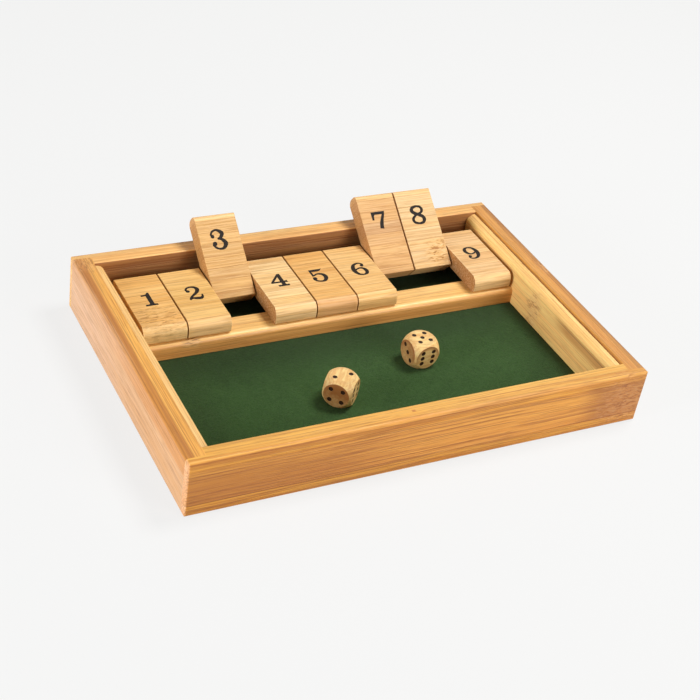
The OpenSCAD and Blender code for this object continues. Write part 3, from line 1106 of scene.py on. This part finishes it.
def felt_sheet(material):
    """The felt as one laid sheet, with a softly rounded upper edge."""
    low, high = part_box("felt_lining")
    size = high - low
    columns = round(size.x / FELT_CELL)
    rows = round(size.y / FELT_CELL)
    mesh = bmesh.new()
    grid = {}
    for i in range(columns + 1):
        for j in range(rows + 1):
            x = low.x + size.x * i / columns
            y = low.y + size.y * j / rows
            border = i in (0, columns) or j in (0, rows)
            drop = FELT_EDGE if border else felt_height(x, y)
            grid[i, j] = mesh.verts.new((x, y, high.z - drop))
    for i in range(columns):
        for j in range(rows):
            mesh.faces.new([grid[i, j], grid[i + 1, j], grid[i + 1, j + 1], grid[i, j + 1]])
    rim = [(i, 0) for i in range(columns)] + [(columns, j) for j in range(rows)]
    rim += [(i, rows) for i in range(columns, 0, -1)] + [(0, j) for j in range(rows, 0, -1)]
    under = [mesh.verts.new((grid[key].co.x, grid[key].co.y, low.z)) for key in rim]
    for k, key in enumerate(rim):
        after = (k + 1) % len(rim)
        mesh.faces.new([grid[rim[after]], grid[key], under[k], under[after]])
    mesh.faces.new(under[::-1])
    felt = piece_from("felt_sheet", mesh)
    for face in felt.data.polygons:
        face.use_smooth = abs(face.normal.z) > 0.5 and len(face.vertices) == 4
    felt.data.materials.append(material)
    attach(felt, "tray")
    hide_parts("felt_lining")


# Studio


CAMERA_PLACE = (-0.341571, -0.553615, 0.472102)
# In degrees
CAMERA_TURN = (54.1155, -7.9002, -25.9449)
# In millimetres
CAMERA_LENS = 75.06
SENSOR_WIDTH = 36.0
SKY_STRENGTH = 0.16
# The share of the floor's look that doesn't come from the lamps
FLOOR_GLOW = 0.885
FLOOR_SIZE = 10.0
# Each lamp: where it stands, the side of its square, its power in watts and its tint
LAMPS = {
    "overhead softbox": ((0.52, 0.05, 1.12), 0.4, 12.5, (1.0, 1.0, 1.0)),
    "left fill": ((-1.25, -0.15, 0.3), 0.5, 13.4, (0.98, 1.0, 1.1)),
    "front fill": ((0.6, -1.15, 0.5), 0.6, 10.2, (1.0, 1.0, 1.0)),
}


def point_at(thing, target):
    thing.rotation_euler = (Vector(target) - thing.location).to_track_quat("-Z", "Y").to_euler()


def add_camera():
    data = bpy.data.cameras.new("camera")
    data.lens = CAMERA_LENS
    data.sensor_width = SENSOR_WIDTH
    camera = bpy.data.objects.new("camera", data)
    camera.location = CAMERA_PLACE
    camera.rotation_euler = [math.radians(a) for a in CAMERA_TURN]
    bpy.context.scene.collection.objects.link(camera)
    bpy.context.scene.camera = camera


def add_lamps():
    for name, (place, side, power, tint) in LAMPS.items():
        data = bpy.data.lights.new(name, "AREA")
        data.size = side
        data.energy = power
        data.color = tint
        lamp = bpy.data.objects.new(name, data)
        lamp.location = place
        point_at(lamp, (0, 0, 0))
        bpy.context.scene.collection.objects.link(lamp)


def looked_at(t):
    """1 where the camera, a gloss or a glass looks, and 0 for light that falls on the game."""
    path = t.add("ShaderNodeLightPath").outputs
    seen = t.math("MAXIMUM", path["Is Camera Ray"], path["Is Glossy Ray"])
    return t.math("MAXIMUM", seen, path["Is Transmission Ray"])


def add_sky():
    """An even pale sky, plain white where it is looked at."""
    world = bpy.data.worlds.new("studio")
    world.use_nodes = True
    world.node_tree.nodes.clear()
    t = Tree(world.node_tree)
    strength = t.math("MULTIPLY_ADD", looked_at(t), 1.0 - SKY_STRENGTH, SKY_STRENGTH)
    sky = t.add("ShaderNodeBackground", {"Color": (1, 1, 1, 1), "Strength": strength})
    t.add("ShaderNodeOutputWorld", {"Surface": sky.outputs[0]})
    bpy.context.scene.world = world


def add_floor():
    """A white floor. It glows where it is looked at, so it keeps only a light shadow."""
    material, t = new_material("pale floor")
    place = t.add("ShaderNodeTexCoord").outputs["Object"]
    colour = t.mix(t.noise(place, 900, 2.0), paint("#f9f9f8"), paint("#f7f6f5"))
    plain = t.add("ShaderNodeBsdfDiffuse", {"Color": colour})
    glow = t.add("ShaderNodeEmission", {"Color": paint("#f3f3f2")})
    share = t.math("MULTIPLY", looked_at(t), FLOOR_GLOW)
    shader = t.add("ShaderNodeMixShader", {0: share, 1: plain.outputs[0], 2: glow.outputs[0]})
    t.add("ShaderNodeOutputMaterial", {"Surface": shader.outputs[0]})
    mesh = bmesh.new()
    bmesh.ops.create_grid(mesh, x_segments=8, y_segments=8, size=FLOOR_SIZE / 2)
    floor = piece_from("floor", mesh)
    floor.data.materials.append(material)


def set_view():
    bpy.context.scene.view_settings.view_transform = "Standard"


build_effects()
add_camera()
finish_boards()
finish_tiles()
print_numerals(ink_material("numeral ink", "#1c140e", "#463524"))
finish_dice(ink_material("pip ink", "#2e1b0e", "#584028"))
felt_sheet(felt_material())
frame["nodes"]["hinge_rod"].material_slots[0].material = steel_material()
add_lamps()
add_sky()
add_floor()
set_view()
